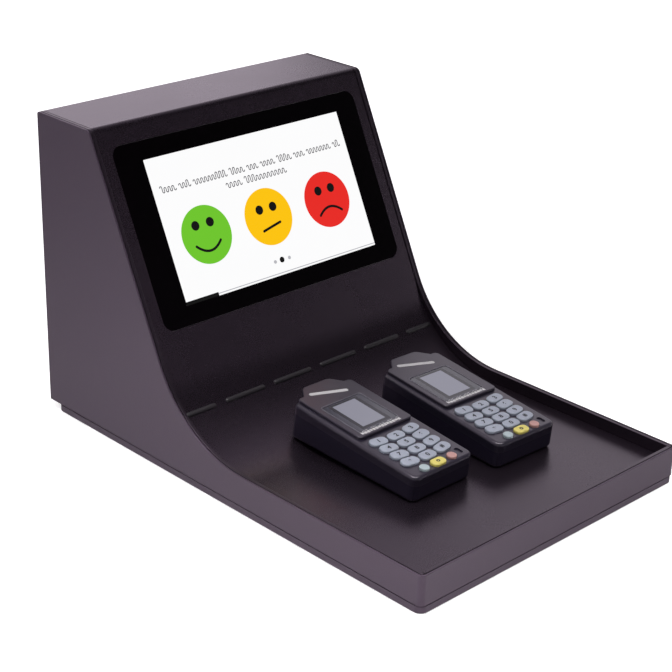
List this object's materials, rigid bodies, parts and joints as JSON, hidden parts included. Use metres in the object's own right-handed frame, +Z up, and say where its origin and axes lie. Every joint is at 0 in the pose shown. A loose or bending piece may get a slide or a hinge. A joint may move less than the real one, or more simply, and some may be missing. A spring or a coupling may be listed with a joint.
{
  "type": "customer feedback terminal",
  "caption": "Counter-top feedback console with a slanted touch screen and a shallow tray holding keypad handsets that lift out; the keys press in.",
  "frame": {"origin": "on the counter, below the middle of the case", "axes": "+X to the right of a person facing the screen, +Y to the rear, +Z up"},
  "size_m": [0.312, 0.465, 0.278],
  "materials": {
    "wrap_paint": "fine textured powder coat, dark violet grey",
    "plate_paint": "fine textured powder coat",
    "fascia_paint": "fine textured powder coat, near black",
    "cover_paint": "fine textured powder coat",
    "base_paint": "fine textured powder coat",
    "feet_rubber": "matte",
    "cover_glass": "black printed border, clear over the display",
    "display_frame": "matte",
    "bracket_steel": "zinc plated",
    "board_laminate": "solder mask",
    "black_zinc": "black zinc",
    "inlet_plastic": "moulded",
    "handset_face": "satin",
    "handset_back": "fine texture",
    "handset_window": "clear over the display",
    "handset_lcd": "grey display",
    "mat_rubber": "silicone",
    "battery_wrap": "shrink wrap",
    "key_grey": "satin",
    "key_green": "satin",
    "key_yellow": "satin",
    "key_red": "satin"
  },
  "bodies": {
    "console": {"outer_wrap": "wrap_paint", "left_side_plate": "plate_paint", "right_side_plate": "plate_paint", "fascia_sheet": "fascia_paint", "rear_cover": "cover_paint", "base_plate": "base_paint", "rubber_feet": "feet_rubber", "touch_glass": "cover_glass", "display_panel": "display_frame", "display_bracket": "bracket_steel", "controller_board": "board_laminate", "case_screws": "black_zinc", "bracket_nuts": "bracket_steel", "power_inlet": "inlet_plastic"},
    "left_handset": {"left_handset_front_shell": "handset_face", "left_handset_back_shell": "handset_back", "left_handset_window": "handset_window", "left_handset_lcd": "handset_lcd", "left_handset_keypad_mat": "mat_rubber", "left_handset_circuit_board": "board_laminate", "left_handset_battery": "battery_wrap", "left_handset_screws": "black_zinc"},
    "left_key_1": {"left_key_1": "key_grey"},
    "left_key_2": {"left_key_2": "key_grey"},
    "left_key_3": {"left_key_3": "key_grey"},
    "left_key_4": {"left_key_4": "key_grey"},
    "left_key_5": {"left_key_5": "key_grey"},
    "left_key_6": {"left_key_6": "key_grey"},
    "left_key_7": {"left_key_7": "key_grey"},
    "left_key_8": {"left_key_8": "key_grey"},
    "left_key_9": {"left_key_9": "key_grey"},
    "left_key_star": {"left_key_star": "key_grey"},
    "left_key_0": {"left_key_0": "key_grey"},
    "left_key_hash": {"left_key_hash": "key_grey"},
    "left_key_green": {"left_key_green": "key_green"},
    "left_key_yellow": {"left_key_yellow": "key_yellow"},
    "left_key_red": {"left_key_red": "key_red"},
    "right_handset": {"right_handset_front_shell": "handset_face", "right_handset_back_shell": "handset_back", "right_handset_window": "handset_window", "right_handset_lcd": "handset_lcd", "right_handset_keypad_mat": "mat_rubber", "right_handset_circuit_board": "board_laminate", "right_handset_battery": "battery_wrap", "right_handset_screws": "black_zinc"},
    "right_key_1": {"right_key_1": "key_grey"},
    "right_key_2": {"right_key_2": "key_grey"},
    "right_key_3": {"right_key_3": "key_grey"},
    "right_key_4": {"right_key_4": "key_grey"},
    "right_key_5": {"right_key_5": "key_grey"},
    "right_key_6": {"right_key_6": "key_grey"},
    "right_key_7": {"right_key_7": "key_grey"},
    "right_key_8": {"right_key_8": "key_grey"},
    "right_key_9": {"right_key_9": "key_grey"},
    "right_key_star": {"right_key_star": "key_grey"},
    "right_key_0": {"right_key_0": "key_grey"},
    "right_key_hash": {"right_key_hash": "key_grey"},
    "right_key_green": {"right_key_green": "key_green"},
    "right_key_yellow": {"right_key_yellow": "key_yellow"},
    "right_key_red": {"right_key_red": "key_red"}
  },
  "joints": [
    {"name": "left_handset_lift", "type": "slide", "parent": "console", "child": "left_handset", "axis": [0, 0, 1], "range_m": [0, 0.12]},
    {"name": "left_key_1_press", "type": "slide", "parent": "left_handset", "child": "left_key_1", "axis": [0, 0.099, -0.9951], "range_m": [0, 0.0008], "stiffness_N_per_m": 500},
    {"name": "left_key_2_press", "type": "slide", "parent": "left_handset", "child": "left_key_2", "axis": [0, 0.099, -0.9951], "range_m": [0, 0.0008], "stiffness_N_per_m": 500},
    {"name": "left_key_3_press", "type": "slide", "parent": "left_handset", "child": "left_key_3", "axis": [0, 0.099, -0.9951], "range_m": [0, 0.0008], "stiffness_N_per_m": 500},
    {"name": "left_key_4_press", "type": "slide", "parent": "left_handset", "child": "left_key_4", "axis": [0, 0.099, -0.9951], "range_m": [0, 0.0008], "stiffness_N_per_m": 500},
    {"name": "left_key_5_press", "type": "slide", "parent": "left_handset", "child": "left_key_5", "axis": [0, 0.099, -0.9951], "range_m": [0, 0.0008], "stiffness_N_per_m": 500},
    {"name": "left_key_6_press", "type": "slide", "parent": "left_handset", "child": "left_key_6", "axis": [0, 0.099, -0.9951], "range_m": [0, 0.0008], "stiffness_N_per_m": 500},
    {"name": "left_key_7_press", "type": "slide", "parent": "left_handset", "child": "left_key_7", "axis": [0, 0.099, -0.9951], "range_m": [0, 0.0008], "stiffness_N_per_m": 500},
    {"name": "left_key_8_press", "type": "slide", "parent": "left_handset", "child": "left_key_8", "axis": [0, 0.099, -0.9951], "range_m": [0, 0.0008], "stiffness_N_per_m": 500},
    {"name": "left_key_9_press", "type": "slide", "parent": "left_handset", "child": "left_key_9", "axis": [0, 0.099, -0.9951], "range_m": [0, 0.0008], "stiffness_N_per_m": 500},
    {"name": "left_key_star_press", "type": "slide", "parent": "left_handset", "child": "left_key_star", "axis": [0, 0.099, -0.9951], "range_m": [0, 0.0008], "stiffness_N_per_m": 500},
    {"name": "left_key_0_press", "type": "slide", "parent": "left_handset", "child": "left_key_0", "axis": [0, 0.099, -0.9951], "range_m": [0, 0.0008], "stiffness_N_per_m": 500},
    {"name": "left_key_hash_press", "type": "slide", "parent": "left_handset", "child": "left_key_hash", "axis": [0, 0.099, -0.9951], "range_m": [0, 0.0008], "stiffness_N_per_m": 500},
    {"name": "left_key_green_press", "type": "slide", "parent": "left_handset", "child": "left_key_green", "axis": [0, 0.099, -0.9951], "range_m": [0, 0.0008], "stiffness_N_per_m": 500},
    {"name": "left_key_yellow_press", "type": "slide", "parent": "left_handset", "child": "left_key_yellow", "axis": [0, 0.099, -0.9951], "range_m": [0, 0.0008], "stiffness_N_per_m": 500},
    {"name": "left_key_red_press", "type": "slide", "parent": "left_handset", "child": "left_key_red", "axis": [0, 0.099, -0.9951], "range_m": [0, 0.0008], "stiffness_N_per_m": 500},
    {"name": "right_handset_lift", "type": "slide", "parent": "console", "child": "right_handset", "axis": [0, 0, 1], "range_m": [0, 0.12]},
    {"name": "right_key_1_press", "type": "slide", "parent": "right_handset", "child": "right_key_1", "axis": [0.0038, 0.0866, -0.9962], "range_m": [0, 0.0008], "stiffness_N_per_m": 500},
    {"name": "right_key_2_press", "type": "slide", "parent": "right_handset", "child": "right_key_2", "axis": [0.0038, 0.0866, -0.9962], "range_m": [0, 0.0008], "stiffness_N_per_m": 500},
    {"name": "right_key_3_press", "type": "slide", "parent": "right_handset", "child": "right_key_3", "axis": [0.0038, 0.0866, -0.9962], "range_m": [0, 0.0008], "stiffness_N_per_m": 500},
    {"name": "right_key_4_press", "type": "slide", "parent": "right_handset", "child": "right_key_4", "axis": [0.0038, 0.0866, -0.9962], "range_m": [0, 0.0008], "stiffness_N_per_m": 500},
    {"name": "right_key_5_press", "type": "slide", "parent": "right_handset", "child": "right_key_5", "axis": [0.0038, 0.0866, -0.9962], "range_m": [0, 0.0008], "stiffness_N_per_m": 500},
    {"name": "right_key_6_press", "type": "slide", "parent": "right_handset", "child": "right_key_6", "axis": [0.0038, 0.0866, -0.9962], "range_m": [0, 0.0008], "stiffness_N_per_m": 500},
    {"name": "right_key_7_press", "type": "slide", "parent": "right_handset", "child": "right_key_7", "axis": [0.0038, 0.0866, -0.9962], "range_m": [0, 0.0008], "stiffness_N_per_m": 500},
    {"name": "right_key_8_press", "type": "slide", "parent": "right_handset", "child": "right_key_8", "axis": [0.0038, 0.0866, -0.9962], "range_m": [0, 0.0008], "stiffness_N_per_m": 500},
    {"name": "right_key_9_press", "type": "slide", "parent": "right_handset", "child": "right_key_9", "axis": [0.0038, 0.0866, -0.9962], "range_m": [0, 0.0008], "stiffness_N_per_m": 500},
    {"name": "right_key_star_press", "type": "slide", "parent": "right_handset", "child": "right_key_star", "axis": [0.0038, 0.0866, -0.9962], "range_m": [0, 0.0008], "stiffness_N_per_m": 500},
    {"name": "right_key_0_press", "type": "slide", "parent": "right_handset", "child": "right_key_0", "axis": [0.0038, 0.0866, -0.9962], "range_m": [0, 0.0008], "stiffness_N_per_m": 500},
    {"name": "right_key_hash_press", "type": "slide", "parent": "right_handset", "child": "right_key_hash", "axis": [0.0038, 0.0866, -0.9962], "range_m": [0, 0.0008], "stiffness_N_per_m": 500},
    {"name": "right_key_green_press", "type": "slide", "parent": "right_handset", "child": "right_key_green", "axis": [0.0038, 0.0866, -0.9962], "range_m": [0, 0.0008], "stiffness_N_per_m": 500},
    {"name": "right_key_yellow_press", "type": "slide", "parent": "right_handset", "child": "right_key_yellow", "axis": [0.0038, 0.0866, -0.9962], "range_m": [0, 0.0008], "stiffness_N_per_m": 500},
    {"name": "right_key_red_press", "type": "slide", "parent": "right_handset", "child": "right_key_red", "axis": [0.0038, 0.0866, -0.9962], "range_m": [0, 0.0008], "stiffness_N_per_m": 500}
  ]
}
